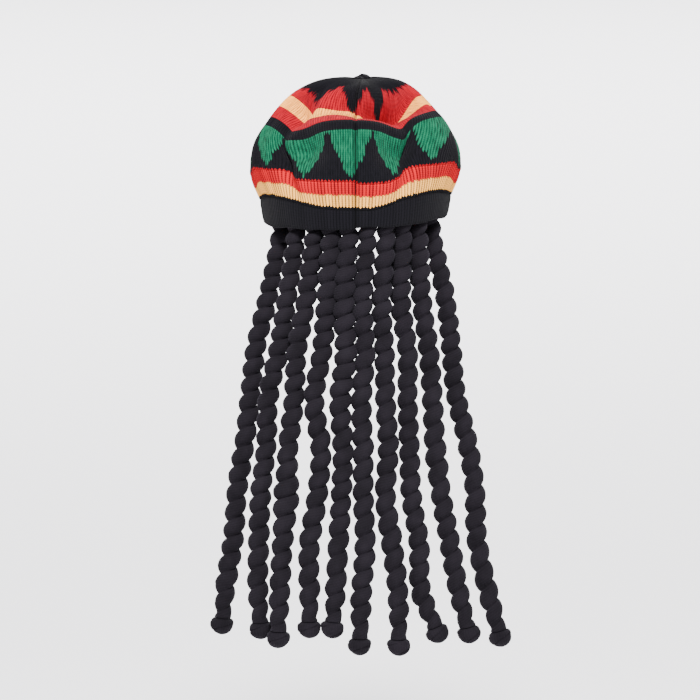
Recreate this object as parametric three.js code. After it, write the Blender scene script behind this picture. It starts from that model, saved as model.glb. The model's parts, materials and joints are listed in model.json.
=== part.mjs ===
// A slouchy knitted tam with ten twisted locks sewn inside its rim, in millimetres.
// +Z is up and the origin is the middle of the head opening, in the plane of the rim.
// -Y is the side of the locks and the knitted seam, +Y is the forehead, +X is to the right.
import * as THREE from "three";

// Driving sizes of the cap
const rimWidth = 192;
const rimDepth = 206;
const capWidth = 220;
const capDepth = 230;
const widestHeight = 58;
const capHeight = 150;
const rimHeight = 20.5;
const bandHeight = 32;
const knitWall = 3;
const rimWall = 4.5;
const rimTiltHeight = 4;
const hemRoll = 1.6;
const ribHeight = 1.1;
const ribCount = 100;
const seamSideHalfAngle = 72;
const crownRows = 15;
const bandRows = 3;
const seamDepth = 2.4;
const seamHalfAngle = 1.6;
const clearance = 0.3;
const joinGap = 0.75;

// Driving sizes of the nub where the top is drawn together
const gatherRadius = 10;
const gatherHeight = 5;
const gatherHole = 6;
const gatherDrift = 6;
const gatherPleats = 9;
const gatherPleatDepth = 0.12;
const stemGap = 0.7;
const nubGap = 0.5;

// Driving sizes of the locks and their knots
const lockDiameter = 18;
const lockSides = 8;
const lockSteps = 17;
const knotDiameter = 24;
const knotHeight = 17;
const knotSides = 8;

const knitBlack = { color: 0x232026, roughness: 0.95, metalness: 0 };
const knitRed = { color: 0xe23a3e, roughness: 0.95, metalness: 0 };

// Profile of the cap from the rim to its widest course:
// up is a share of widestHeight, swell a share of the growth from the rim to the widest course
const lowerProfile = [
  { up: 0.0, swell: 0.0 },
  { up: 0.22, swell: 0.1 },
  { up: 0.5, swell: 0.5 },
  { up: 0.78, swell: 0.87 },
  { up: 1.0, swell: 1.0 },
];

// Profile from the widest course to the middle of the top:
// up is a share of the height left above the widest course, out a share of the half width
const upperProfile = [
  { up: 0.17, out: 0.985 },
  { up: 0.33, out: 0.93 },
  { up: 0.5, out: 0.84 },
  { up: 0.68, out: 0.72 },
  { up: 0.84, out: 0.575 },
  { up: 0.945, out: 0.4 },
  { up: 0.98, out: 0.22 },
  { up: 0.975, out: 0.1 },
  { up: 0.975, out: 0.0 },
];

// Valleys and swells that the loose fabric falls into, seen from the seam side first:
// angle is in degrees from the seam, lean in degrees along the whole fabric, along a share of
// the fabric from rim to middle, depth a share of capHeight with inward counted as plus,
// wide in degrees, tall a share of the fabric
const folds = [
  { name: "left valley", angle: -45, lean: -40, along: 0.34, depth: 0.12, wide: 6, tall: 0.16 },
  { name: "left recess", angle: -33, lean: -15, along: 0.39, depth: 0.13, wide: 13, tall: 0.1 },
  { name: "left dimple", angle: -53, lean: 0, along: 0.62, depth: 0.145, wide: 11, tall: 0.085 },
  { name: "right valley", angle: 32, lean: 20, along: 0.34, depth: 0.12, wide: 6, tall: 0.16 },
  { name: "right recess", angle: 25, lean: 10, along: 0.39, depth: 0.135, wide: 11, tall: 0.1 },
  { name: "right dimple", angle: 44, lean: 0, along: 0.64, depth: 0.17, wide: 12, tall: 0.08 },
  { name: "hollow behind ridge", angle: 24, lean: 0, along: 0.65, depth: 0.25, wide: 30, tall: 0.075 },
  { name: "hollow left of seam", angle: -18, lean: 0, along: 0.67, depth: 0.06, wide: 13, tall: 0.05 },
  { name: "arched ridge", angle: -3, lean: 0, along: 0.51, depth: -0.065, wide: 30, tall: 0.06 },
  { name: "left lobe", angle: -65, lean: 0, along: 0.38, depth: -0.03, wide: 13, tall: 0.2 },
  { name: "right lobe", angle: 57, lean: 0, along: 0.4, depth: -0.04, wide: 16, tall: 0.2 },
  { name: "right side fall", angle: 108, lean: 0, along: 0.5, depth: 0.05, wide: 14, tall: 0.16 },
  { name: "left side fall", angle: -112, lean: 0, along: 0.48, depth: 0.055, wide: 15, tall: 0.16 },
  { name: "forehead left fall", angle: -155, lean: 0, along: 0.46, depth: 0.05, wide: 14, tall: 0.17 },
  { name: "forehead right fall", angle: 150, lean: 0, along: 0.5, depth: 0.05, wide: 15, tall: 0.15 },
  { name: "forehead top hollow", angle: 176, lean: 0, along: 0.7, depth: 0.06, wide: 26, tall: 0.08 },
];
const foldFadeStart = 0.81;
const foldFadeEnd = 0.93;
const calmRimShare = 1.6;

// Places along the fabric between which the top is drawn across to the nub
const driftStart = 0.6;
const driftEnd = 0.95;

// Lobes that ride up over the valleys: foot and wide are spreads in degrees at the rim and
// above it; rises are shares of capHeight at each of lobePlaces along the fabric
const lobePlaces = [0, 0.09, 0.24, 0.48, 0.72];
const lobes = [
  { name: "left lobe", angle: -59, lean: -40, foot: 31, wide: 17, rises: [0, 0.08, 0.067, 0.01, 0] },
  { name: "right lobe", angle: 51, lean: 8, foot: 31, wide: 20, rises: [0, 0.08, 0.083, 0.054, 0] },
  { name: "right of seam", angle: 10.5, lean: 0, foot: 11, wide: 11, rises: [0, -0.017, -0.023, 0, 0] },
];

// Fabric that slid sideways, in degrees, and that droops, as a share of capHeight
const slides = [
  { name: "left shoulder", angle: -50, along: 0.56, slide: -13, wide: 25, tall: 0.19 },
  { name: "right shoulder", angle: 68, along: 0.5, slide: 17, wide: 20, tall: 0.16 },
  { name: "right lobe foot", angle: 48, along: 0.3, slide: -5, wide: 15, tall: 0.12 },
  { name: "left of nub", angle: -32, along: 0.7, slide: -16, wide: 20, tall: 0.12 },
  { name: "right of nub", angle: 40, along: 0.64, slide: 13, wide: 21, tall: 0.12 },
];
const droops = [
  { name: "left end of ridge", angle: -43, along: 0.51, droop: 0.045, wide: 14, tall: 0.085 },
  { name: "right end of ridge", angle: 31, along: 0.51, droop: 0.035, wide: 10, tall: 0.085 },
  { name: "left of tan arch", angle: -34, along: 0.64, droop: 0.045, wide: 13, tall: 0.07 },
  { name: "left tan valley", angle: -46, along: 0.7, droop: 0.065, wide: 7, tall: 0.06 },
  { name: "right tan valley", angle: 52, along: 0.68, droop: 0.08, wide: 10, tall: 0.07 },
  { name: "dip behind the nub", angle: -174, along: 0.86, droop: 0.02, wide: 26, tall: 0.08 },
];

// Valley floors that ran sideways under the lobes beside them: run is a share of capHeight
// with plus to +X, lean is in degrees along the whole fabric
const undercuts = [
  { name: "left valley floor", angle: -43, lean: -40, along: 0.4, run: -0.07, wide: 9, tall: 0.125 },
  { name: "right valley floor", angle: 29, lean: 20, along: 0.4, run: 0.05, wide: 7, tall: 0.14 },
];

// Locks by the place where each is sewn in: y there, then x at each of lockHeights,
// then x and z of the lock's lower end. They are chosen points, in millimetres.
const lockHeights = [9, -10, -80, -130, -180, -230, -280, -330, -380];
const lockFlare = [0, 0, 3, 6, 9, 12, 15, 17, 19, 20];
const locks = [
  { y: -28.0, x: [-78.0, -78.5, -92, -104, -110, -116, -124, -128, -136], end: [-139.5, -415.5] },
  { y: -59.4, x: [-61.4, -62.0, -72, -80, -91, -93, -99, -101, -102], end: [-99.5, -415] },
  { y: -76.5, x: [-42.6, -43.0, -52, -61, -64, -70, -72, -76, -79], end: [-80.5, -421.5] },
  { y: -85.0, x: [-25.2, -25.3, -30, -35, -43, -36, -40, -48, -48], end: [-48, -409.5] },
  { y: -89.0, x: [-6.5, -7.0, -12, -10, -16, -13, -15, -18, -21], end: [-23.5, -409] },
  { y: -88.5, x: [12.5, 12.0, 7, 10, 6, 8, 8, 10, 6], end: [4.5, -427] },
  { y: -83.2, x: [31.5, 31.5, 27, 30, 31, 34, 31, 38, 44], end: [45, -428.5] },
  { y: -72.0, x: [48.5, 48.5, 47, 54, 54, 56, 58, 66, 68], end: [83, -417.5] },
  { y: -55.5, x: [64.5, 65.0, 69, 76, 80, 83, 89, 98, 107], end: [117, -420.5] },
  { y: -26.0, x: [79.2, 79.8, 94, 100, 105, 117, 125, 127, 137], end: [150.5, -429.5] },
];

// Profile of a knot: a low bulb like an upturned mushroom, narrow where the lock goes in;
// out is a share of its half diameter, down a share of its height
const knotProfile = [
  { out: 0.0, down: 0.0 },
  { out: 0.66, down: 0.0 },
  { out: 0.76, down: 0.2 },
  { out: 1.0, down: 0.46 },
  { out: 0.97, down: 0.72 },
  { out: 0.66, down: 0.94 },
  { out: 0.0, down: 1.0 },
];

// Profile of the gathered nub: up is a share of gatherHeight, out a share of gatherRadius
const gatherProfile = [
  { out: 0.75, up: 0.0 },
  { out: 1.0, up: 0.22 },
  { out: 0.86, up: 0.6 },
  { out: 0.5, up: 0.86 },
  { out: 0.0, up: 1.0 },
];

// The rows of both profiles as half width, half depth and height
function profileRows() {
  const lower = lowerProfile.map(({ up, swell }) => [
    (rimWidth + swell * (capWidth - rimWidth)) / 2,
    (rimDepth + swell * (capDepth - rimDepth)) / 2,
    up * widestHeight,
  ]);
  const upper = upperProfile.map(({ up, out }) => [
    (out * capWidth) / 2,
    (out * capDepth) / 2,
    widestHeight + up * (capHeight - widestHeight),
  ]);
  return [...lower, ...upper];
}

// One smooth Catmull Rom value between the rows, at a row number with a fraction
function betweenRows(rows, place) {
  const last = rows.length - 1;
  const at = Math.min(Math.max(place, 0), last - 1e-9);
  const i = Math.floor(at);
  const f = at - i;
  const [a, b, c, d] = [i - 1, i, i + 1, i + 2].map((k) => rows[Math.min(Math.max(k, 0), last)]);
  return b.map((_, k) => {
    const rise = (c[k] - a[k]) / 2;
    const run = (d[k] - b[k]) / 2;
    const step = c[k] - b[k];
    const cubic = rise + run - 2 * step;
    const square = 3 * step - 2 * rise - run;
    return b[k] + f * (rise + f * (square + f * cubic));
  });
}

// The length of fabric from the rim's edge up to each small step of the profile
const rows = profileRows();
const profileSteps = 600;
const fabricLengths = [0];
for (let i = 1; i <= profileSteps; i += 1) {
  const before = betweenRows(rows, ((i - 1) * (rows.length - 1)) / profileSteps);
  const here = betweenRows(rows, (i * (rows.length - 1)) / profileSteps);
  const step = Math.hypot(here[0] - before[0], here[2] - before[2]);
  fabricLengths.push(fabricLengths[i - 1] + step);
}
const fabricLength = fabricLengths[profileSteps];

// The row number that lies a length of fabric up from the rim's edge
function rowOf(length) {
  const wanted = Math.min(Math.max(length, 0), fabricLength);
  let i = 1;
  while (i < profileSteps && fabricLengths[i] < wanted) i += 1;
  const part = (wanted - fabricLengths[i - 1]) / (fabricLengths[i] - fabricLengths[i - 1]);
  return ((i - 1 + part) * (rows.length - 1)) / profileSteps;
}

function smooth(low, high, value) {
  const t = Math.min(Math.max((value - low) / (high - low), 0), 1);
  return t * t * (3 - 2 * t);
}

function turnBetween(angle, centre) {
  const fullTurn = 360;
  const halfTurn = fullTurn / 2;
  return ((angle - centre + fullTurn + halfTurn) % fullTurn) - halfTurn;
}

// The unfolded cap at an angle in degrees from the seam and a length of fabric from the rim
function plainPoint(angle, length) {
  const [halfWidth, halfDepth, height] = betweenRows(rows, rowOf(length));
  const turn = THREE.MathUtils.degToRad(angle);
  const tilt = rimTiltHeight * Math.sin(turn) * (1 - height / capHeight);
  return new THREE.Vector3(halfWidth * Math.sin(turn), -halfDepth * Math.cos(turn), height + tilt);
}

// The outward direction of a surface, from its points a little way around and along
function outward(surface, angle, length) {
  const turnStep = 0.5;
  const lengthStep = 0.8;
  const around = surface(angle + turnStep, length).sub(surface(angle - turnStep, length));
  const low = Math.max(length - lengthStep, 0);
  const high = Math.min(length + lengthStep, fabricLength - 0.01);
  const along = surface(angle, high).sub(surface(angle, low));
  return around.cross(along).normalize();
}

// A smooth bump of height 1 at a row's angle and place along the fabric
function bump(row, centre, angle, along) {
  const across = turnBetween(angle, centre) / row.wide;
  const up = (along - row.along) / row.tall;
  return Math.exp(-(across * across) - up * up);
}

// How far the fabric falls inward, with its folds and the drawn seam
function foldDepth(angle, along) {
  let depth = 0;
  for (const fold of folds) {
    const centre = fold.angle + fold.lean * (along - fold.along);
    depth += fold.depth * capHeight * bump(fold, centre, angle, along);
  }
  const calmTop = 1 - smooth(foldFadeStart, foldFadeEnd, along);
  const calmRim = smooth(0, (rimHeight * calmRimShare) / fabricLength, along);
  const seam = turnBetween(angle, 0) / seamHalfAngle;
  return calmRim * calmTop * (depth + seamDepth * Math.exp(-(seam * seam)));
}

// A value between those that a list gives at the places along the fabric
function between(places, values, along) {
  let i = 1;
  while (i < places.length - 1 && places[i] < along) i += 1;
  const part = Math.min((along - places[i - 1]) / (places[i] - places[i - 1]), 1);
  return values[i - 1] + part * (values[i] - values[i - 1]);
}

// How far the lobes ride up: their edges are soft at the rim and steep above it
function lobeRise(angle, along) {
  const above = smooth(lobePlaces[1], lobePlaces[2] * 0.9, along);
  let rise = 0;
  for (const lobe of lobes) {
    const off = turnBetween(angle, lobe.angle + lobe.lean * (along - lobePlaces[2]) * above);
    const soft = Math.exp(-((off / lobe.foot) ** 2));
    const steep = Math.exp(-((off / lobe.wide) ** 6));
    rise += (soft + above * (steep - soft)) * between(lobePlaces, lobe.rises, along);
  }
  return rise * capHeight;
}

function foldedPoint(fabricAngle, length) {
  const along = length / fabricLength;
  let angle = fabricAngle;
  for (const row of slides) angle += row.slide * bump(row, row.angle, angle, along);
  const point = plainPoint(angle, length);
  point.addScaledVector(outward(plainPoint, angle, length), -foldDepth(angle, along));
  point.z += lobeRise(angle, along);
  for (const row of droops) point.z -= row.droop * capHeight * bump(row, row.angle, angle, along);
  for (const row of undercuts) {
    const centre = row.angle + row.lean * (along - row.along);
    point.x += row.run * capHeight * bump(row, centre, angle, along);
  }
  point.x += gatherDrift * smooth(driftStart, driftEnd, along);
  return point;
}

// A point inside the fabric, a depth under its outer face; on a level edge it lies straight in
function fabricPoint(angle, length, depth, onLevelEdge = false) {
  const point = foldedPoint(angle, length);
  const out = outward(foldedPoint, angle, length);
  if (onLevelEdge) out.setZ(0).normalize();
  return point.addScaledVector(out, -depth);
}

// Columns around the cap: one for each rib on the seam side, one for each second rib behind it
function capColumns() {
  const ribTurn = 360 / ribCount;
  const angles = [];
  let angle = -seamSideHalfAngle;
  while (angle < 360 - seamSideHalfAngle - 1e-6) {
    angles.push(angle);
    angle += angle < seamSideHalfAngle - 1e-6 ? ribTurn : 2 * ribTurn;
  }
  return angles;
}

// A closed body from loops of equal length, one loop for each column around the cap
function closedBody(loops) {
  const positions = loops.flat().flatMap((p) => [p.x, p.y, p.z]);
  const size = loops[0].length;
  const faces = [];
  for (let i = 0; i < loops.length; i += 1) {
    const next = (i + 1) % loops.length;
    for (let j = 0; j < size; j += 1) {
      const up = (j + 1) % size;
      const [a, b, c, d] = [i * size + j, next * size + j, next * size + up, i * size + up];
      faces.push(a, b, c, a, c, d);
    }
  }
  const geometry = new THREE.BufferGeometry();
  geometry.setAttribute("position", new THREE.Float32BufferAttribute(positions, 3));
  geometry.setIndex(faces);
  geometry.computeVertexNormals();
  return geometry;
}

// A loop up the outer face of the fabric and down its inner face, between level edges,
// or with an upper edge that follows the fabric
function wallLoop(angle, low, high, steps, hasLevelTop) {
  const pointAt = (i, depth) => {
    const onLevelEdge = i === 0 || (i === steps && hasLevelTop);
    return fabricPoint(angle, low + ((high - low) * i) / steps, depth, onLevelEdge);
  };
  const loop = [];
  for (let i = 0; i <= steps; i += 1) loop.push(pointAt(i, 0));
  for (let i = steps; i >= 0; i -= 1) loop.push(pointAt(i, knitWall));
  return loop;
}

const columns = capColumns();
const bandTop = rimHeight + bandHeight;

// Crown: the folded top, open at the rim side and round the small hole of the gather
function crownGeometry() {
  const low = bandTop + joinGap;
  const high = fabricLength - gatherHole;
  return closedBody(columns.map((a) => wallLoop(a, low, high, crownRows, false)));
}

// Ribbed band: its plain facets are those of the crown, and between columns stands one broad
// rib, for each two of the fine knitted ones on the seam side and each four behind it
function bandGeometry() {
  const low = rimHeight + joinGap;
  const plain = columns.map((a) => wallLoop(a, low, bandTop, bandRows, true));
  const loops = [];
  plain.forEach((loop, i) => {
    const next = plain[(i + 1) % plain.length];
    const middle = loop.map((point, j) => point.clone().lerp(next[j], 0.5));
    const crest = middle.map((point, j) => {
      const inner = middle[middle.length - 1 - j];
      const standing = point.clone().sub(inner).setLength(ribHeight);
      return j <= bandRows ? point.clone().add(standing) : point;
    });
    loops.push(loop, crest);
  });
  return closedBody(loops);
}

// Rolled rim: a thicker hem whose outer face swells and whose lower edge is round
function rimGeometry() {
  const section = [
    { up: 0.08, depth: 0.0 },
    { up: 0.35, depth: -hemRoll },
    { up: 0.75, depth: -hemRoll },
    { up: 1.0, depth: 0.0 },
    { up: 1.0, depth: rimWall },
    { up: 0.5, depth: rimWall },
    { up: 0.12, depth: rimWall * 0.9 },
    { up: 0.0, depth: rimWall * 0.45 },
  ];
  const pointAt = (a, { up, depth }) => fabricPoint(a, up * rimHeight, depth, up === 1);
  return closedBody(columns.map((a) => section.map((row) => pointAt(a, row))));
}

// Gather: a puckered nub on the middle of the top, with a stem down through the hole
function gatherGeometry() {
  const stem = gatherHole - stemGap;
  const stemTop = nubGap;
  const profile = [
    new THREE.Vector2(0, -knitWall),
    new THREE.Vector2(stem, -knitWall),
    new THREE.Vector2(stem, stemTop),
    ...gatherProfile.map(({ out, up }) => {
      return new THREE.Vector2(out * gatherRadius, stemTop + up * gatherHeight);
    }),
  ];
  const geometry = new THREE.LatheGeometry(profile, 2 * gatherPleats);
  const places = geometry.getAttribute("position");
  for (let i = 0; i < places.count; i += 1) {
    const radius = Math.hypot(places.getX(i), places.getZ(i));
    const column = Math.floor(i / profile.length) % 2;
    const isPleat = radius > gatherHole && column === 1;
    const scale = isPleat ? 1 - gatherPleatDepth : 1;
    places.setX(i, places.getX(i) * scale);
    places.setZ(i, places.getZ(i) * scale);
  }
  return geometry.rotateX(Math.PI / 2);
}

// The centre line of a lock, one smooth curve through its chosen points
function lockRoute({ y, x, end }) {
  const points = x.map((across, i) => {
    return new THREE.Vector3(across, y - lockFlare[i], lockHeights[i]);
  });
  points.push(new THREE.Vector3(end[0], y - lockFlare[x.length], end[1]));
  return new THREE.CatmullRomCurve3(points, false, "centripetal");
}

function lockGeometry(route) {
  const section = new THREE.Shape();
  for (let i = 0; i < lockSides; i += 1) {
    const turn = (2 * Math.PI * i) / lockSides;
    const x = (lockDiameter / 2) * Math.cos(turn);
    const y = (lockDiameter / 2) * Math.sin(turn);
    if (i === 0) section.moveTo(x, y);
    else section.lineTo(x, y);
  }
  section.closePath();
  return new THREE.ExtrudeGeometry(section, { steps: lockSteps, extrudePath: route });
}

function knotGeometry() {
  const profile = knotProfile.map(({ out, down }) => {
    return new THREE.Vector2((out * knotDiameter) / 2, -down * knotHeight);
  });
  return new THREE.LatheGeometry(profile.reverse(), knotSides);
}

function namedMesh(name, geometry, look) {
  const mesh = new THREE.Mesh(geometry, new THREE.MeshStandardMaterial(look));
  mesh.name = name;
  return mesh;
}

const tam = new THREE.Group();
tam.add(namedMesh("crown", crownGeometry(), knitBlack));
tam.add(namedMesh("rib_band", bandGeometry(), knitRed));
tam.add(namedMesh("rolled_rim", rimGeometry(), knitBlack));

const gather = namedMesh("crown_gather", gatherGeometry(), knitBlack);
gather.position.set(gatherDrift, 0, rows[rows.length - 1][2]);
tam.add(gather);

locks.forEach((lock, i) => {
  const number = String(i + 1).padStart(2, "0");
  const route = lockRoute(lock);
  tam.add(namedMesh(`lock_${number}`, lockGeometry(route), knitBlack));

  const knot = namedMesh(`lock_knot_${number}`, knotGeometry(), knitBlack);
  const down = route.getTangent(1);
  knot.position.copy(route.getPoint(1)).addScaledVector(down, clearance);
  knot.quaternion.setFromUnitVectors(new THREE.Vector3(0, -1, 0), down);
  tam.add(knot);
});

export default tam;
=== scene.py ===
import json
import math

import bpy
import numpy as np
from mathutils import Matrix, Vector

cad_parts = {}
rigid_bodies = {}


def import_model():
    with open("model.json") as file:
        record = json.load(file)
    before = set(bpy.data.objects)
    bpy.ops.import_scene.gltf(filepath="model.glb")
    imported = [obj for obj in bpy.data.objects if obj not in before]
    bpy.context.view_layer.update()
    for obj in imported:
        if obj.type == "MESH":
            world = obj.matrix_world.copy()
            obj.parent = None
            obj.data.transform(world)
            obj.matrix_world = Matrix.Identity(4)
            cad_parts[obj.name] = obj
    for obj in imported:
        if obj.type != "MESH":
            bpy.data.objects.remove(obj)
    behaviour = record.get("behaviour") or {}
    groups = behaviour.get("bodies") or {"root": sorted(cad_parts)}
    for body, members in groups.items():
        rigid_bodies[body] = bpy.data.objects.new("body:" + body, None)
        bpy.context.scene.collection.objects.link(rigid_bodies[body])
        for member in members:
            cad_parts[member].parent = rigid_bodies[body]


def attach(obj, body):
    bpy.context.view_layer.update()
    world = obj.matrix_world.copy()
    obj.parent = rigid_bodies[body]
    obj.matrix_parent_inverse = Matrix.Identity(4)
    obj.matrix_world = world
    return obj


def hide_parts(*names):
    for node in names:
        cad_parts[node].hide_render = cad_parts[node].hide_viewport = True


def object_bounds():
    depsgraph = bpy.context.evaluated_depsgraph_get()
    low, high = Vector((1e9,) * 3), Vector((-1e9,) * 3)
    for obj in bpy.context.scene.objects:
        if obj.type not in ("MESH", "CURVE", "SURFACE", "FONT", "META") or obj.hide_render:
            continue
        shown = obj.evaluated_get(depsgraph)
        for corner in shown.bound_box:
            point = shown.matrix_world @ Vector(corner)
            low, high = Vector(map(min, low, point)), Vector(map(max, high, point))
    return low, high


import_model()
cad_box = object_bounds()


# Camera
# The cap is photographed from the side of its seam and locks, a little from above, with a
# long lens that keeps the near and the far locks at one scale.
CAP_WIDTH = 0.220
CAP_WIDTH_PIXELS = 209
PHOTO_SIDE_PIXELS = 700
RIM_PIXEL = (355.5, 219.5)
METRES_A_PIXEL = CAP_WIDTH / CAP_WIDTH_PIXELS
CAMERA_DISTANCE = 6.0
CAMERA_ELEVATION = math.radians(7.2)
SENSOR_WIDTH_MM = 36
FARTHEST_SEEN = 60

middle_x = (PHOTO_SIDE_PIXELS / 2 - RIM_PIXEL[0]) * METRES_A_PIXEL
middle_z = (RIM_PIXEL[1] - PHOTO_SIDE_PIXELS / 2) * METRES_A_PIXEL / math.cos(CAMERA_ELEVATION)
aim = Vector((middle_x, 0, middle_z))
away = Vector((0, -math.cos(CAMERA_ELEVATION), math.sin(CAMERA_ELEVATION)))
camera_data = bpy.data.cameras.new("product_camera")
camera_data.sensor_width = SENSOR_WIDTH_MM
camera_data.lens = SENSOR_WIDTH_MM * CAMERA_DISTANCE / (PHOTO_SIDE_PIXELS * METRES_A_PIXEL)
camera_data.clip_end = FARTHEST_SEEN
camera = bpy.data.objects.new("product_camera", camera_data)
camera.location = aim + away * CAMERA_DISTANCE
camera.rotation_euler = (-away).to_track_quat("-Z", "Y").to_euler()
bpy.context.scene.collection.objects.link(camera)
bpy.context.scene.camera = camera


# Locks
# Ten locks of black knitted tube, stuffed and twisted until the tube coils on itself, so that
# one groove winds down each. Their flattened tops are sewn inside the rim, behind the ears
# and across the nape.

# Chosen points of the centre lines: for each lock its y at the rim, its x at each of
# LOCK_HEIGHTS, and x and z of its lower end; all locks lean back by LOCK_FLARE from y
LOCK_HEIGHTS = [0.009, -0.010, -0.080, -0.130, -0.180, -0.230, -0.280, -0.330, -0.380]
LOCK_FLARE = [0, 0, 0.003, 0.006, 0.009, 0.012, 0.015, 0.017, 0.019, 0.020]
LOCKS = [
    {"y": -0.0280, "x": [-0.0780, -0.0785, -0.092, -0.104, -0.110, -0.116, -0.124, -0.128, -0.136],
     "end": (-0.1395, -0.4155)},
    {"y": -0.0594, "x": [-0.0614, -0.0620, -0.072, -0.080, -0.091, -0.093, -0.099, -0.101, -0.102],
     "end": (-0.0995, -0.415)},
    {"y": -0.0765, "x": [-0.0426, -0.0430, -0.052, -0.061, -0.064, -0.070, -0.072, -0.076, -0.079],
     "end": (-0.0805, -0.4215)},
    {"y": -0.0850, "x": [-0.0252, -0.0253, -0.030, -0.035, -0.043, -0.036, -0.040, -0.048, -0.048],
     "end": (-0.048, -0.4095)},
    {"y": -0.0890, "x": [-0.0065, -0.0070, -0.012, -0.010, -0.016, -0.013, -0.015, -0.018, -0.021],
     "end": (-0.0235, -0.409)},
    {"y": -0.0885, "x": [0.0125, 0.0120, 0.007, 0.010, 0.006, 0.008, 0.008, 0.010, 0.006],
     "end": (0.0045, -0.427)},
    {"y": -0.0832, "x": [0.0315, 0.0315, 0.027, 0.030, 0.031, 0.034, 0.031, 0.038, 0.044],
     "end": (0.045, -0.4285)},
    {"y": -0.0720, "x": [0.0485, 0.0485, 0.047, 0.054, 0.054, 0.056, 0.058, 0.066, 0.068],
     "end": (0.083, -0.4175)},
    {"y": -0.0555, "x": [0.0645, 0.0650, 0.069, 0.076, 0.080, 0.083, 0.089, 0.098, 0.107],
     "end": (0.117, -0.4205)},
    {"y": -0.0260, "x": [0.0792, 0.0798, 0.094, 0.100, 0.105, 0.117, 0.125, 0.127, 0.137],
     "end": (0.1505, -0.4295)},
]
LOCK_DIAMETER = 0.020
ROUTE_STEPS = 140
SPAN_STEPS = 24
WINDING_STEPS = 900
LOCK_COLUMNS = 28
LOCK_ROWS_A_TURN = 14
# Width and pitch of the coil at places along a lock, and the groove's depth as a share of it
LOCK_WIDTHS = ((0.0, 0.0180), (0.012, 0.0198), (0.05, 0.0212), (0.1, 0.0221), (0.2, 0.0226),
               (0.43, 0.0232))
LOCK_PITCHES = ((0.0, 0.0160), (0.2, 0.0185), (0.43, 0.0202))
GROOVE_SHARE = 0.195
# Shares by which pitch and fullness differ by chance: the pitch between this many places along
# a lock, the fullness from turn to turn
PITCH_CHANCE = 0.09
PITCH_PLACES = 12
FULLNESS_CHANCE = 0.07
# The last stretch above the knot, where the pulled tube is thinner and its groove runs out
NECK_LENGTH = 0.034
NECK_THINNING = 0.25
GROOVE_END_LENGTH = 0.008
GROOVE_LOST = 0.9
# Stretches where the stuffing lies loose and the lock is fatter, by lock number: place along
# the lock, growth and length
LOOSE_STRETCHES = {3: ((0.292, 0.28, 0.02), (0.04, 0.07, 0.03)), 4: ((0.05, 0.12, 0.05),),
                   5: ((0.07, 0.12, 0.06), (0.16, 0.09, 0.04)), 7: ((0.33, 0.08, 0.02),),
                   8: ((0.05, 0.08, 0.04),), 9: ((0.25, 0.06, 0.02), (0.045, 0.09, 0.03))}
# Width of a column and height of a row of the tube's stitches, and in metres their bumps
TUBE_WALE = 0.0013
TUBE_COURSE = 0.0012
TUBE_BUMP = 0.0007
# Fuzz and uneven dye: how many waves a metre, and the shares of fuzz in the bumps and of
# stitches in the tone, where the stitches paint shade into the colour
FUZZ_SCALE = 900.0
PATCH_SCALE = 45.0
FUZZ_SHARE = 0.35
STITCH_SHARE = 0.6


def lock_points(lock):
    """The chosen points of a lock's centre line, from the rim down."""
    points = [(x, lock["y"] - flare, z) for x, flare, z in zip(lock["x"], LOCK_FLARE, LOCK_HEIGHTS)]
    points.append((lock["end"][0], lock["y"] - LOCK_FLARE[-1], lock["end"][1]))
    return np.array(points)


def between_points(places, lengths, points):
    """Points at places on a line, between the points whose lengths along it are given."""
    return np.stack([np.interp(places, lengths, points[:, k]) for k in range(3)], axis=-1)


def smooth_route(points, steps):
    """A centripetal Catmull Rom curve through the points, as evenly spaced points."""
    ends = [2 * points[0] - points[1], *points, 2 * points[-1] - points[-2]]
    dense = []
    for a, b, c, d in zip(ends, ends[1:], ends[2:], ends[3:]):
        ab, bc, cd = (math.sqrt(np.linalg.norm(q - p)) for p, q in ((a, b), (b, c), (c, d)))
        leave = (b - a) / ab - (c - a) / (ab + bc) + (c - b) / bc
        arrive = (c - b) / bc - (d - b) / (bc + cd) + (d - c) / cd
        for t in np.linspace(0, 1, SPAN_STEPS, endpoint=False):
            cubic = 2 * (b - c) + bc * (leave + arrive)
            square = 3 * (c - b) - bc * (2 * leave + arrive)
            dense.append(b + t * (bc * leave + t * (square + t * cubic)))
    dense = np.array([*dense, points[-1]])
    lengths = np.concatenate(([0], np.cumsum(np.linalg.norm(np.diff(dense, axis=0), axis=1))))
    return between_points(np.linspace(0, lengths[-1], steps), lengths, dense), lengths[-1]


def add_mesh(name, points, faces, uvs):
    """A smooth mesh object with one UV pair for each corner of its faces."""
    mesh = bpy.data.meshes.new(name)
    mesh.from_pydata(points.tolist(), [], faces.tolist())
    layer = mesh.uv_layers.new(name="knit")
    layer.data.foreach_set("uv", uvs.reshape(-1).astype(np.float32))
    mesh.shade_smooth()
    piece = bpy.data.objects.new(name, mesh)
    bpy.context.scene.collection.objects.link(piece)
    return piece


def linear(hex_colour):
    """An sRGB hex colour as linear red, green, blue and alpha."""
    parts = [int(hex_colour[i:i + 2], 16) / 255 for i in (1, 3, 5)]
    return (*[p / 12.92 if p <= 0.04045 else ((p + 0.055) / 1.055) ** 2.4 for p in parts], 1)


def add_node(tree, kind, inputs=None, **settings):
    """Adds one node with its settings, and links or fills its inputs by number or name."""
    node = tree.nodes.new(kind)
    for key, value in settings.items():
        setattr(node, key, value)
    for key, value in (inputs or {}).items():
        if isinstance(value, bpy.types.NodeSocket):
            tree.links.new(value, node.inputs[key])
        else:
            node.inputs[key].default_value = value
    return node


def maths(tree, operation, *values):
    """The result of one maths node."""
    return add_node(tree, "ShaderNodeMath", dict(enumerate(values)), operation=operation).outputs[0]


def ramp(tree, value, low, high, start=0.0, end=1.0):
    """A value taken from between low and high to between start and end."""
    return add_node(tree, "ShaderNodeMapRange", {0: value, 1: low, 2: high, 3: start, 4: end}).outputs[0]


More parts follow.
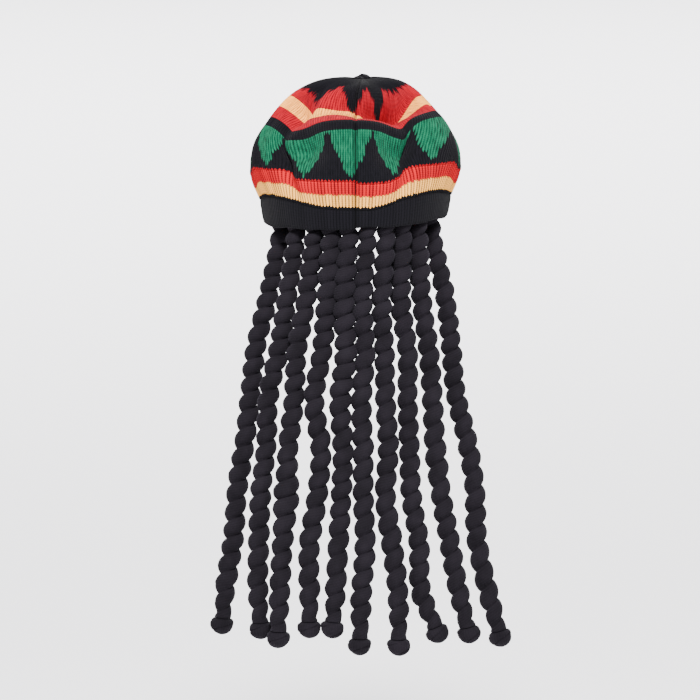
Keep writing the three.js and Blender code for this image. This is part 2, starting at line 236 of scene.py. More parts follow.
def mixed(tree, share, under, over, **settings):
    """The colour under where the share is 0, and the one over it where the share is 1."""
    return add_node(tree, "ShaderNodeMix", {0: share, 6: under, 7: over}, data_type="RGBA",
                    **settings).outputs[2]


def yarn_material(name, roughness, refraction, sheen, sheen_roughness):
    """A matte yarn with a soft sheen: the material, its tree and shader, and the two knit
    coordinates, across the wales and along them."""
    material = bpy.data.materials.new(name)
    material.use_nodes = True
    tree = material.node_tree
    shader = tree.nodes["Principled BSDF"]
    shader.inputs["Roughness"].default_value = roughness
    shader.inputs["IOR"].default_value = refraction
    shader.inputs["Specular IOR Level"].default_value = 0.04
    shader.inputs["Sheen Weight"].default_value = sheen
    shader.inputs["Sheen Roughness"].default_value = sheen_roughness
    knit = add_node(tree, "ShaderNodeUVMap", uv_map="knit")
    split = add_node(tree, "ShaderNodeSeparateXYZ", {0: knit.outputs[0]})
    return material, tree, shader, split.outputs[0], split.outputs[1]


def finish_yarn(tree, shader, colour, height, distance, strength):
    """Gives the shader its colour, and bumps of a height in metres from the stitches."""
    tree.links.new(colour, shader.inputs["Base Color"])
    bumps = add_node(tree, "ShaderNodeBump", {"Height": height, "Distance": distance, "Strength": strength})
    tree.links.new(bumps.outputs[0], shader.inputs["Normal"])


def smooth(low, high, value):
    """0 up to low, 1 from high on, and an S curve between them."""
    t = np.clip((value - low) / (high - low), 0, 1)
    return t * t * (3 - 2 * t)


def tube_knit_material(name):
    """Matte black polyester yarn, knitted as a fine tube: soft fuzz at the edges of each coil,
    and fine wales that run along the tube, whose relief also paints shade into the colour."""
    material, tree, shader, across_knit, along_knit = yarn_material(
        name, roughness=0.92, refraction=1.45, sheen=0.07, sheen_roughness=0.45)
    shader.inputs["Sheen Tint"].default_value = linear("#8d8796")
    across = maths(tree, "PINGPONG", across_knit, 1.0)
    slant = maths(tree, "ADD", across, along_knit)
    stitch = maths(tree, "MULTIPLY", across, maths(tree, "PINGPONG", slant, 0.5))
    place = add_node(tree, "ShaderNodeTexCoord").outputs["Object"]
    fuzz = add_node(tree, "ShaderNodeTexNoise", {"Vector": place, "Scale": FUZZ_SCALE, "Detail": 3.0})
    height = maths(tree, "MULTIPLY_ADD", fuzz.outputs[0], FUZZ_SHARE, stitch)
    patches = add_node(tree, "ShaderNodeTexNoise", {"Vector": place, "Scale": PATCH_SCALE})
    # Painted shade from the stitches' relief, over patches of uneven dye
    tone = maths(tree, "MULTIPLY_ADD", stitch, STITCH_SHARE, patches.outputs[0])
    colour = mixed(tree, tone, linear("#09080a"), linear("#1c191e"))
    finish_yarn(tree, shader, colour, height, TUBE_BUMP, strength=0.8)
    return material


tube_knit = tube_knit_material("stuffed_knit_tube_black")


def lock_mesh(name, route, length, number):
    """The coiled tube as a ribbon wound round the centre line, its edges meeting in the groove."""
    chance = np.random.default_rng(number)
    places = np.linspace(0, length, WINDING_STEPS)
    uneven = chance.uniform(-1, 1, PITCH_PLACES)
    pitch = np.interp(places, *zip(*LOCK_PITCHES))
    pitch = pitch * (1 + PITCH_CHANCE * np.interp(places, np.linspace(0, length, PITCH_PLACES), uneven))
    winding = np.concatenate(([0], np.cumsum(np.diff(places) / pitch[1:]))) + chance.uniform(0, 1)
    turns = math.ceil(winding[-1]) + 2
    rows = np.arange(turns * LOCK_ROWS_A_TURN + 1)
    columns = np.arange(LOCK_COLUMNS)
    phase = rows[:, None] / LOCK_ROWS_A_TURN
    theta = columns[None, :] / LOCK_COLUMNS
    place = np.interp(phase - theta, winding, places)
    across = (phase % 1.0) - 0.5
    fullness = FULLNESS_CHANCE * chance.uniform(-1, 1, turns + 3)[np.floor(phase - theta + 1).astype(int)]
    width = np.interp(place, *zip(*LOCK_WIDTHS))
    for spot, growth, stretch in LOOSE_STRETCHES.get(number, ()):
        width = width * (1 + growth * np.exp(-((place - spot) / stretch) ** 2))
    width = width * (1 - NECK_THINNING * smooth(length - NECK_LENGTH, length, place))
    depth = GROOVE_SHARE * width * (1 - GROOVE_LOST * smooth(length - GROOVE_END_LENGTH, length, place))
    half_pitch = np.interp(place, places, pitch) / 2
    bulge = (half_pitch ** 2 + depth ** 2) / (2 * depth)
    fall = bulge - np.sqrt(np.maximum(bulge ** 2 - (2 * across * half_pitch) ** 2, 0))
    radius = (width / 2 - fall) * (1 + fullness * (0.5 - np.abs(across)))

    lengths = np.linspace(0, length, len(route))
    centre = between_points(place, lengths, route)
    tangents = np.gradient(route, axis=0)
    tangents /= np.linalg.norm(tangents, axis=1)[:, None]
    tangent = between_points(place, lengths, tangents)
    side = np.array([1.0, 0, 0]) - tangent * tangent[..., :1]
    side /= np.linalg.norm(side, axis=-1)[..., None]
    front = np.cross(side, tangent)
    turn = 2 * math.pi * theta[..., None]
    points = centre + radius[..., None] * (side * np.cos(turn) + front * np.sin(turn))

    def corner(j, i):
        return j * LOCK_COLUMNS + i

    faces = []
    uvs = []
    wales = float(np.mean(pitch)) / TUBE_WALE
    courses = math.pi * LOCK_DIAMETER / TUBE_COURSE
    for j in range(len(rows) - 1):
        turn_number = j // LOCK_ROWS_A_TURN
        low = (j % LOCK_ROWS_A_TURN) / LOCK_ROWS_A_TURN * wales
        high = (j % LOCK_ROWS_A_TURN + 1) / LOCK_ROWS_A_TURN * wales
        for i in range(LOCK_COLUMNS):
            if i < LOCK_COLUMNS - 1:
                corners = (corner(j, i), corner(j, i + 1), corner(j + 1, i + 1), corner(j + 1, i))
            elif j >= LOCK_ROWS_A_TURN:
                back = j - LOCK_ROWS_A_TURN
                corners = (corner(j, i), corner(back, 0), corner(back + 1, 0), corner(j + 1, i))
            else:
                continue
            if place[j, i] == place[j + 1, i] and place[j, i] in (0, length):
                continue
            here = (turn_number - i / LOCK_COLUMNS) * courses
            there = (turn_number - (i + 1) / LOCK_COLUMNS) * courses
            faces.append(corners)
            uvs.extend(((low, here), (low, there), (high, there), (high, here)))
    return add_mesh(name, points.reshape(-1, 3), np.array(faces), np.array(uvs))


lock_routes = {}
for number, lock in enumerate(LOCKS, start=1):
    route, length = smooth_route(lock_points(lock), ROUTE_STEPS)
    lock_routes[number] = (route, length)
    piece = lock_mesh(f"lock_{number:02d}_coil", route, length, number)
    piece.data.materials.append(tube_knit)
    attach(piece, "root")
    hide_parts(f"lock_{number:02d}")


# Lock knots
# Each lock ends in a knot of its own tube, pulled tight into a low bulb that is narrow where
# the lock goes in and flat underneath.
KNOT_DIAMETER = 0.0243
KNOT_HEIGHT = 0.0182
KNOT_PROFILE = ((0.0, 0.6), (0.06, 0.8), (0.16, 0.95), (0.32, 1.0), (0.52, 0.99), (0.7, 0.87),
                (0.85, 0.64), (0.95, 0.36), (1.0, 0.0))
KNOT_TOP = 0.2
KNOT_SIDES = 48
KNOT_ROWS = 26
# The turn of the tube round the knot, how far it and the second wrap stand out, and the
# crease between the wraps: its depth, place and width
WRAP_TURN = 5.0
WRAP_SWELL = 0.045
SECOND_SWELL = 0.03
CREASE_DEPTH = 0.11
CREASE_PLACE = 0.1
CREASE_WIDTH = 0.14

for number, (route, length) in lock_routes.items():
    chance = np.random.default_rng(100 + number)
    down = route[-1] - route[-2]
    down = down / np.linalg.norm(down)
    side = np.array([1.0, 0, 0]) - down * down[0]
    side /= np.linalg.norm(side)
    front = np.cross(side, down)
    share = np.linspace(0, 1, KNOT_ROWS) ** 0.9
    turn = np.linspace(0, 2 * math.pi, KNOT_SIDES, endpoint=False)
    out = np.interp(share, *zip(*KNOT_PROFILE))
    out[0] = KNOT_TOP
    wrap = np.cos(turn[None, :] - WRAP_TURN * share[:, None] + chance.uniform(0, 6))
    lobes = 1 + WRAP_SWELL * wrap + SECOND_SWELL * np.cos(2 * turn[None, :] + 4 * share[:, None])
    crease = 1 - CREASE_DEPTH * np.exp(-((wrap - CREASE_PLACE) / CREASE_WIDTH) ** 2)
    radius = KNOT_DIAMETER / 2 * out[:, None] * lobes * crease
    depth = share * KNOT_HEIGHT
    points = (route[-1] + down * depth[:, None, None] + side * (radius * np.cos(turn))[..., None]
              + front * -(radius * np.sin(turn))[..., None])
    faces = []
    uvs = []
    for j in range(KNOT_ROWS - 1):
        for i in range(KNOT_SIDES):
            k = (i + 1) % KNOT_SIDES
            faces.append((j * KNOT_SIDES + i, (j + 1) * KNOT_SIDES + i,
                          (j + 1) * KNOT_SIDES + k, j * KNOT_SIDES + k))
            uvs.extend(((i, j), (i, j + 1), (i + 1, j + 1), (i + 1, j)))
    knot = add_mesh(f"lock_{number:02d}_end_knot", points.reshape(-1, 3), np.array(faces),
                    np.array(uvs, dtype=float))
    knot.data.materials.append(tube_knit)
    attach(knot, "root")
    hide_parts(f"lock_knot_{number:02d}")
    piece = bpy.data.objects[f"lock_{number:02d}_coil"]


# Crown
# The slouchy top is knitted in fine stocking stitch from acrylic yarn, in stripes with a row of
# triangles, and falls in three lobes with valleys between them over the sewn seam.
RIM_WIDTH = 0.192
RIM_DEPTH = 0.206
CAP_DEPTH = 0.230
WIDEST_HEIGHT = 0.058
CAP_HEIGHT = 0.150
RIM_HEIGHT = 0.0205
BAND_HEIGHT = 0.032
KNIT_WALL = 0.003
RIM_TILT = 0.004
GATHER_HOLE = 0.006
JOIN_GAP = 0.0002
# Depth of the drawn seam, and its half width in degrees
SEAM_DEPTH = 0.0024
SEAM_SPREAD = 1.6
# Folds fade out between these shares of the fabric, and up from the rim within a share of the
# rim's height
FOLD_FADE = (0.81, 0.93)
CALM_RIM_SHARE = 1.6
PROFILE_STEPS = 600
# Steps to the sides of a point, in degrees round and in metres along the fabric, that give its
# outward direction
ANGLE_STEP = 0.5
LENGTH_STEP = 0.0008

# Rows of the profile: from the rim to the widest courses with the share of the way up and of
# the swell, and from there to the top with the share of the half width and of the way up
LOWER_PROFILE = ((0.0, 0.0), (0.22, 0.1), (0.5, 0.5), (0.78, 0.87), (1.0, 1.0))
UPPER_PROFILE = ((0.17, 0.985), (0.33, 0.93), (0.5, 0.84), (0.68, 0.72), (0.84, 0.575),
                 (0.945, 0.4), (0.98, 0.22), (0.975, 0.1), (0.975, 0.0))

# Folds of the loose fabric: angle from the seam in degrees, lean in degrees along the whole
# fabric, place along it from rim to middle, depth as a share of CAP_HEIGHT with inward
# counted as plus, spread in degrees and as a share of the fabric
FOLDS = (
    ("left valley", -45, -40, 0.34, 0.12, 6, 0.16),
    ("left recess", -33, -15, 0.39, 0.13, 13, 0.1),
    ("left dimple", -53, 0, 0.62, 0.145, 11, 0.085),
    ("right valley", 32, 20, 0.34, 0.12, 6, 0.16),
    ("right recess", 25, 10, 0.39, 0.135, 11, 0.1),
    ("right dimple", 44, 0, 0.64, 0.17, 12, 0.08),
    ("hollow behind ridge", 24, 0, 0.65, 0.25, 30, 0.075),
    ("hollow left of seam", -18, 0, 0.67, 0.06, 13, 0.05),
    ("arched ridge", -3, 0, 0.51, -0.065, 30, 0.06),
    ("left lobe", -65, 0, 0.38, -0.03, 13, 0.2),
    ("right lobe", 57, 0, 0.4, -0.04, 16, 0.2),
    ("right side fall", 108, 0, 0.5, 0.05, 14, 0.16),
    ("left side fall", -112, 0, 0.48, 0.055, 15, 0.16),
    ("forehead left fall", -155, 0, 0.46, 0.05, 14, 0.17),
    ("forehead right fall", 150, 0, 0.5, 0.05, 15, 0.15),
    ("forehead top hollow", 176, 0, 0.7, 0.06, 26, 0.08),
)
# Lobes that ride up over the valleys: angle, lean, spread at the rim and above it, and their
# rise as shares of CAP_HEIGHT at each of LOBE_PLACES
LOBE_PLACES = (0, 0.09, 0.24, 0.48, 0.72)
LOBES = (
    ("left lobe", -59, -40, 31, 17, (0, 0.08, 0.067, 0.01, 0)),
    ("right lobe", 51, 8, 31, 20, (0, 0.08, 0.083, 0.054, 0)),
    ("right of seam", 10.5, 0, 11, 11, (0, -0.017, -0.023, 0, 0)),
)
# Fabric that slid sideways, in degrees, and that droops, as a share of CAP_HEIGHT:
# angle, place, amount, spreads
SLIDES = (
    ("left shoulder", -50, 0.56, -13, 25, 0.19),
    ("right shoulder", 68, 0.5, 17, 20, 0.16),
    ("right lobe foot", 48, 0.3, -5, 15, 0.12),
    ("left of nub", -32, 0.7, -16, 20, 0.12),
    ("right of nub", 40, 0.64, 13, 21, 0.12),
)
DROOPS = (
    ("left end of ridge", -43, 0.51, 0.045, 14, 0.085),
    ("right end of ridge", 31, 0.51, 0.035, 10, 0.085),
    ("left of tan arch", -34, 0.64, 0.045, 13, 0.07),
    ("left tan valley", -46, 0.7, 0.065, 7, 0.06),
    ("right tan valley", 52, 0.68, 0.08, 10, 0.07),
    ("dip behind the nub", -174, 0.86, 0.02, 26, 0.08),
)
# Valley floors that ran sideways under the lobes beside them: angle, lean, place, run as a
# share of CAP_HEIGHT with plus to +X, spread in degrees and as a share of the fabric
UNDERCUTS = (
    ("left valley floor", -43, -40, 0.4, -0.07, 9, 0.125),
    ("right valley floor", 29, 20, 0.4, 0.05, 7, 0.14),
)
# The top is drawn across to the nub between these places along the fabric
GATHER_DRIFT = 0.006
DRIFT_PLACES = (0.6, 0.95)


def profile_rows():
    """The profile of the cap as rows of half width, half depth and height."""
    lower = [((RIM_WIDTH + swell * (CAP_WIDTH - RIM_WIDTH)) / 2,
              (RIM_DEPTH + swell * (CAP_DEPTH - RIM_DEPTH)) / 2, up * WIDEST_HEIGHT)
             for up, swell in LOWER_PROFILE]
    upper = [(out * CAP_WIDTH / 2, out * CAP_DEPTH / 2, WIDEST_HEIGHT + up * (CAP_HEIGHT - WIDEST_HEIGHT))
             for up, out in UPPER_PROFILE]
    return np.array(lower + upper)


def between_rows(rows, place):
    """Smooth Catmull Rom values between the rows, at row numbers with fractions."""
    last = len(rows) - 1
    at = np.clip(place, 0, last - 1e-9)
    i = np.floor(at).astype(int)
    f = (at - i)[..., None]
    a, b, c, d = (rows[np.clip(i + k, 0, last)] for k in (-1, 0, 1, 2))
    rise = (c - a) / 2
    run = (d - b) / 2
    step = c - b
    return b + f * (rise + f * (3 * step - 2 * rise - run + f * (rise + run - 2 * step)))


ROWS = profile_rows()
ROW_PLACES = np.linspace(0, len(ROWS) - 1, PROFILE_STEPS + 1)
profile_line = between_rows(ROWS, ROW_PLACES)[:, (0, 2)]
FABRIC_LENGTHS = np.concatenate(([0], np.cumsum(np.linalg.norm(np.diff(profile_line, axis=0), axis=1))))
FABRIC_LENGTH = FABRIC_LENGTHS[-1]


def turn_between(angle, centre):
    """How far an angle is past a centre, from -180 to 180 degrees."""
    return (angle - centre + 540) % 360 - 180


def plain_point(angle, length):
    """The unfolded cap at angles in degrees from the seam and lengths of fabric from the rim."""
    row = between_rows(ROWS, np.interp(length, FABRIC_LENGTHS, ROW_PLACES))
    turn = np.radians(angle)
    tilt = RIM_TILT * np.sin(turn) * (1 - row[..., 2] / CAP_HEIGHT)
    return np.stack([row[..., 0] * np.sin(turn), -row[..., 1] * np.cos(turn), row[..., 2] + tilt], axis=-1)


def outward(surface, angle, length):
    """The outward direction of a surface, from points a little way around and along it."""
    around = surface(angle + ANGLE_STEP, length) - surface(angle - ANGLE_STEP, length)
    high = np.minimum(length + LENGTH_STEP, FABRIC_LENGTH - 1e-5)
    along = surface(angle, high) - surface(angle, np.maximum(length - LENGTH_STEP, 0))
    out = np.cross(around, along)
    return out / np.linalg.norm(out, axis=-1)[..., None]


def bump(angle, along, centre, place, wide, tall):
    """A smooth bump of height 1 at an angle and a place along the fabric."""
    return np.exp(-(turn_between(angle, centre) / wide) ** 2 - ((along - place) / tall) ** 2)


def fold_depth(angle, along):
    """How far the fabric falls inward, with its folds and the drawn seam."""
    depth = 0
    for _, centre, lean, place, share, wide, tall in FOLDS:
        leaning = centre + lean * (along - place)
        depth = depth + share * CAP_HEIGHT * bump(angle, along, leaning, place, wide, tall)
    seam = SEAM_DEPTH * np.exp(-(turn_between(angle, 0) / SEAM_SPREAD) ** 2)
    calm_rim = smooth(0, CALM_RIM_SHARE * RIM_HEIGHT / FABRIC_LENGTH, along)
    return calm_rim * (1 - smooth(*FOLD_FADE, along)) * (depth + seam)


def lobe_rise(angle, along):
    """How far the lobes ride up: their edges are soft at the rim and steep above it."""
    above = smooth(LOBE_PLACES[1], LOBE_PLACES[2] * 0.9, along)
    rise = 0
    for _, centre, lean, foot, wide, rises in LOBES:
        off = turn_between(angle, centre + lean * (along - LOBE_PLACES[2]) * above)
        window = (1 - above) * np.exp(-(off / foot) ** 2) + above * np.exp(-(off / wide) ** 6)
        rise = rise + CAP_HEIGHT * window * np.interp(along, LOBE_PLACES, rises)
    return rise


def folded_point(fabric_angle, length):
    """The cap with its folds, at angles of the fabric and lengths of fabric from the rim."""
    along = length / FABRIC_LENGTH
    angle = fabric_angle
    for _, centre, place, slide, wide, tall in SLIDES:
        angle = angle + slide * bump(angle, along, centre, place, wide, tall)
    depth = fold_depth(angle, along)[..., None]
    point = plain_point(angle, length) - outward(plain_point, angle, length) * depth
    point[..., 2] += lobe_rise(angle, along)
    for _, centre, place, droop, wide, tall in DROOPS:
        point[..., 2] -= droop * CAP_HEIGHT * bump(angle, along, centre, place, wide, tall)
    for _, centre, lean, place, run, wide, tall in UNDERCUTS:
        leaning = centre + lean * (along - place)
        point[..., 0] += run * CAP_HEIGHT * bump(angle, along, leaning, place, wide, tall)
    point[..., 0] += GATHER_DRIFT * smooth(*DRIFT_PLACES, along)
    return point


def fabric_grid(angles, lengths, depth):
    """A row of points at each length and a column at each angle, a depth under the outer face."""
    angle, length = np.meshgrid(angles, lengths)
    inward = np.broadcast_to(depth, angle.shape)[..., None]
    return folded_point(angle, length) - outward(folded_point, angle, length) * inward


def ring_piece(name, grid, across, along):
    """A closed piece from a grid of points, section loop by angle, with its knit coordinates."""
    loops, columns = grid.shape[:2]
    j, i = (part.reshape(-1) for part in np.mgrid[0:loops, 0:columns])
    k = (i + 1) % columns
    n = (j + 1) % loops
    faces = np.stack([j * columns + i, j * columns + k, n * columns + k, n * columns + i], axis=1)
    u_low, u_high = across[i], across[i + 1]
    v_low, v_high = along[j], along[n]
    uvs = np.stack([u_low, v_low, u_high, v_low, u_high, v_high, u_low, v_high], axis=1)
    return add_mesh(name, grid.reshape(-1, 3), faces, uvs)


# Wales, the columns of stitches, and ribs of the band are counted round the whole cap. A wale
# is 2.7 mm wide at the widest courses and a rib 3.3 mm wide at the rim.
CROWN_WALES = 266
RIBS = 188
COLUMNS_A_WALE = 4
CROWN_ROWS = 56
CROWN_INNER_ROWS = 32
WALE_RELIEF = 0.0005
RIB_RELIEF = 0.0009
# The band's ribs run out over this much of the crown
RIB_RUN_OUT = 0.007

columns = CROWN_WALES * COLUMNS_A_WALE
angles = np.arange(columns) * 360 / columns
crown_low = RIM_HEIGHT + BAND_HEIGHT + JOIN_GAP
crown_high = FABRIC_LENGTH - GATHER_HOLE
outer_lengths = np.linspace(crown_low, crown_high, CROWN_ROWS)
inner_lengths = np.linspace(crown_high, crown_low, CROWN_INNER_ROWS)
wale_place = (np.arange(columns) % COLUMNS_A_WALE) / COLUMNS_A_WALE
wales = WALE_RELIEF * (1 - np.abs(np.cos(math.pi * wale_place)))
ribs = RIB_RELIEF * np.abs(np.sin(np.radians(angles * RIBS / 2)))
ribs_left = 1 - smooth(crown_low, crown_low + RIB_RUN_OUT, outer_lengths)
outer = fabric_grid(angles, outer_lengths, -wales[None, :] - ribs_left[:, None] * ribs[None, :])
inner = fabric_grid(angles, inner_lengths, KNIT_WALL)
across = np.arange(columns + 1) / COLUMNS_A_WALE
along = np.concatenate((outer_lengths, inner_lengths)) * 1000
crown = ring_piece("crown_knit", np.concatenate((outer, inner)), across, along)

# Colour stripes of the crown from the band up, as lengths of fabric in millimetres
CROWN_STRIPES = ((105, 116, "black"), (116, 130.5, "red"), (130.5, 146, "tan"), (146, 172, "red"))
# Triangles hang from the black stripe with their points down, and the black top has points too.
# Points and bases are lengths of fabric in millimetres. A triangle takes TRIANGLE_WIDTH of its
# field, and its sides bend with the power TRIANGLE_CURVE.
TRIANGLES = 14
TRIANGLE_POINT = 60.0
TRIANGLE_BASE = 105.0
TRIANGLE_WIDTH = 0.96
TRIANGLE_CURVE = 1.35
TOP_POINT = 146
TOP_BASE = 172
# Over the shoulders the black top ends at one length. It does so between these shares of the
# way round from the seam, and the two lengths meet at the forehead.
LEFT_SHOULDER_TOP = 160.0
RIGHT_SHOULDER_TOP = 167.0
SHOULDER_START = (0.066, 0.076)
SHOULDER_END = (0.24, 0.27)
FOREHEAD = (0.45, 0.55)
# The triangles are turned 3 degrees from the seam, here as a share of one of them
PATTERN_TURN = 3 / (360 / TRIANGLES)
# Scarlet points of the band's ribs reach up into the crown: their feet and heights
RIB_FOOT = 52.9
RIB_POINT = 4.4
# Height of a row of stitches, how far a colour join dips at the sides of a wale, and the
# chance dips from wale to wale, from the least up
COURSE_HEIGHT = 2.2
JOIN_DIP = 7.0
CHANCE_DIP = (-1.5, 7.0)
# Streaks of the yarn, in waves a wale and a millimetre, their share in the tone, and the tones that get a
# yarn's shadow colour and its light one; the stitches' relief also paints shade into the tone
STREAK_SCALE = (1.3, 0.12, 1)
STREAK_SHARE = 1.3
LEG_SHARE = 0.5
WALE_TONES = (0.7, 1.6)
KNIT_BUMP = 0.0006
# Painted shade in the groove of the drawn seam: share of the way round where it ends, and its darkest tone
SEAM_SHARE = 0.0055
SEAM_SHADE_TONE = 0.3
# How acrylic yarn takes the light, and the shadow and light tones of each dyed yarn
ACRYLIC = {"roughness": 0.9, "refraction": 1.48, "sheen": 0.02, "sheen_roughness": 0.5}
YARNS = {"straw": ("#5e3e10", "#f6b054"), "scarlet": ("#3e0407", "#b40d19"),
         "black": ("#050507", "#0f0e12"), "red": ("#4a0409", "#980a1c"), "tan": ("#884e1c", "#f9a64a"),
         "green": ("#020e09", "#125a3f")}


def yarn_colours(tree, shade):
    """The colour of each yarn, between its shadow tone and its light one."""
    return {yarn: mixed(tree, shade, linear(dark), linear(light)) for yarn, (dark, light) in YARNS.items()}


def paint_seam_shade(tree, across, around, colour):
    """Paints shade into the colour along the groove of the drawn seam, where the knit coordinate across
    starts and ends.
    """
    from_seam = maths(tree, "PINGPONG", across, around / 2)
    shade = ramp(tree, from_seam, 0.0, SEAM_SHARE * around, SEAM_SHADE_TONE, 1.0)
    return mixed(tree, 1.0, colour, shade, blend_type="MULTIPLY")


def within(tree, value, low, high):
    """1 where a value is between two limits, and 0 elsewhere."""
    above = maths(tree, "GREATER_THAN", value, float(low))
    return maths(tree, "MULTIPLY", above, maths(tree, "LESS_THAN", value, float(high)))


def stocking_stitch_material(name, wales_a_triangle):
    """Dyed acrylic yarn in stocking stitch: matte, with a soft halo, columns of V shaped
    stitches whose relief also paints shade into the colour, and colour joins that step from one column to
    the next."""
    material, tree, shader, across, along = yarn_material(name, **ACRYLIC)
    wale = maths(tree, "FLOOR", across)
    chance = add_node(tree, "ShaderNodeTexWhiteNoise", {"W": wale}, noise_dimensions="1D").outputs[0]
    side = maths(tree, "ABSOLUTE", maths(tree, "SUBTRACT", maths(tree, "FRACT", across), 0.5))
    least_dip, dip_range = CHANCE_DIP
    jitter = maths(tree, "MULTIPLY_ADD", chance, dip_range, least_dip)
    height = maths(tree, "ADD", along, maths(tree, "MULTIPLY_ADD", side, -JOIN_DIP, jitter))

    # Stitches: round wales of slanting legs, whose relief is also painted into the tone as shade at the
    # sides of each wale and between the legs, with streaks of lighter and darker yarn
    grain = add_node(tree, "ShaderNodeCombineXYZ", {0: across, 1: along})
    streak_place = add_node(tree, "ShaderNodeVectorMath", {0: grain.outputs[0], 1: STREAK_SCALE},
                            operation="MULTIPLY")
    streak = add_node(tree, "ShaderNodeTexNoise",
                      {"Vector": streak_place.outputs[0], "Scale": 1.0, "Detail": 2.0})
    course = maths(tree, "MULTIPLY_ADD", along, 1 / COURSE_HEIGHT, side)
    leg = maths(tree, "PINGPONG", course, 0.5)
    round_top = maths(tree, "POWER", maths(tree, "SUBTRACT", 0.5, side), 0.5)
    stitch = maths(tree, "MULTIPLY_ADD", leg, LEG_SHARE, round_top)
    tone = maths(tree, "MULTIPLY_ADD", streak.outputs[0], STREAK_SHARE, stitch)
    yarns = yarn_colours(tree, ramp(tree, tone, *WALE_TONES))

    # Green triangles on black, then the stripes
    turn = maths(tree, "MULTIPLY_ADD", wale, 1 / wales_a_triangle, 0.5 / wales_a_triangle + PATTERN_TURN)
    edge = maths(tree, "PINGPONG", turn, 0.5)
    curved = maths(tree, "POWER", maths(tree, "MULTIPLY", edge, 2 / TRIANGLE_WIDTH), TRIANGLE_CURVE)
    triangle_edge = maths(tree, "MULTIPLY_ADD", curved, TRIANGLE_BASE - TRIANGLE_POINT, TRIANGLE_POINT)
    inside_points = maths(tree, "GREATER_THAN", height, triangle_edge)
    below_base = maths(tree, "LESS_THAN", along, TRIANGLE_BASE)
    colour = mixed(tree, maths(tree, "MULTIPLY", inside_points, below_base), yarns["black"], yarns["green"])
    for low, high, yarn in CROWN_STRIPES:
        colour = mixed(tree, within(tree, along, low, high), colour, yarns[yarn])

    # Scarlet points of the ribs at the crown's foot
    rib_inside = maths(tree, "PINGPONG", maths(tree, "MULTIPLY", across, RIBS / CROWN_WALES), 0.5)
    rib_edge = maths(tree, "MULTIPLY_ADD", rib_inside, RIB_POINT, RIB_FOOT)
    colour = mixed(tree, maths(tree, "LESS_THAN", along, rib_edge), colour, yarns["scarlet"])

    # The black top with its points, which are cut short over the shoulders
    top_edge = maths(tree, "MULTIPLY_ADD", edge, 2 * (TOP_BASE - TOP_POINT), TOP_POINT)
    around = maths(tree, "MULTIPLY", wale, 1 / CROWN_WALES)
    from_seam = maths(tree, "PINGPONG", around, 0.5)
    shoulder = maths(tree, "MULTIPLY", ramp(tree, from_seam, *SHOULDER_START),
                     ramp(tree, from_seam, *SHOULDER_END, 1.0, 0.0))
    shoulder_top = ramp(tree, around, *FOREHEAD, RIGHT_SHOULDER_TOP, LEFT_SHOULDER_TOP)
    top_limit = add_node(tree, "ShaderNodeMix", {0: shoulder, 2: top_edge, 3: shoulder_top}).outputs[0]
    colour = mixed(tree, maths(tree, "GREATER_THAN", height, top_limit), colour, yarns["black"])

    # Painted shade along the groove of the drawn seam
    colour = paint_seam_shade(tree, across, CROWN_WALES, colour)
    finish_yarn(tree, shader, colour, stitch, KNIT_BUMP, strength=0.9)
    return material


crown.data.materials.append(stocking_stitch_material("acrylic_stocking_stitch", CROWN_WALES / TRIANGLES))
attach(crown, "root")
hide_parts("crown")


# Ribbed band
# Below the crown the same yarns are knitted in a springy rib, a tan stripe under a red one,
# which draws the cap in to the head.
COLUMNS_A_RIB = 6
BAND_ROWS = 15
# Where the stripes start, as lengths of fabric in millimetres
TAN_START = 22.8
RED_START = 36.5
# How far a colour join droops at the sides of a rib, and the chance steps from rib to rib
RIB_DROOP = 3.6
CHANCE_STEP = 1.3
# A rib's stitches: the slant of their legs, the shares of legs, gutters and chance in its
# tone, where legs and gutters paint shade into the colour, and the tones that get a yarn's shadow colour
# and its light one
LEG_SLANT = 2.2
RIB_LEG_SHARE = 0.8
GUTTER_SHARE = 1.3
RIB_CHANCE_SHARE = 0.25
RIB_TONES = (0.34, 0.98)

columns = RIBS * COLUMNS_A_RIB
angles = np.arange(columns) * 360 / columns
band_low = RIM_HEIGHT + JOIN_GAP
band_high = RIM_HEIGHT + BAND_HEIGHT
upward = np.linspace(band_low, band_high, BAND_ROWS)
lengths = np.concatenate((upward, upward[::-1]))
is_outer = (np.arange(2 * BAND_ROWS) < BAND_ROWS)[:, None]
rib = np.abs(np.sin(math.pi * np.arange(columns) / COLUMNS_A_RIB))[None, :]
grid = fabric_grid(angles, lengths, np.where(is_outer, -RIB_RELIEF * rib, KNIT_WALL))
band = ring_piece("rib_band_knit", grid, np.arange(columns + 1) / COLUMNS_A_RIB, lengths * 1000)


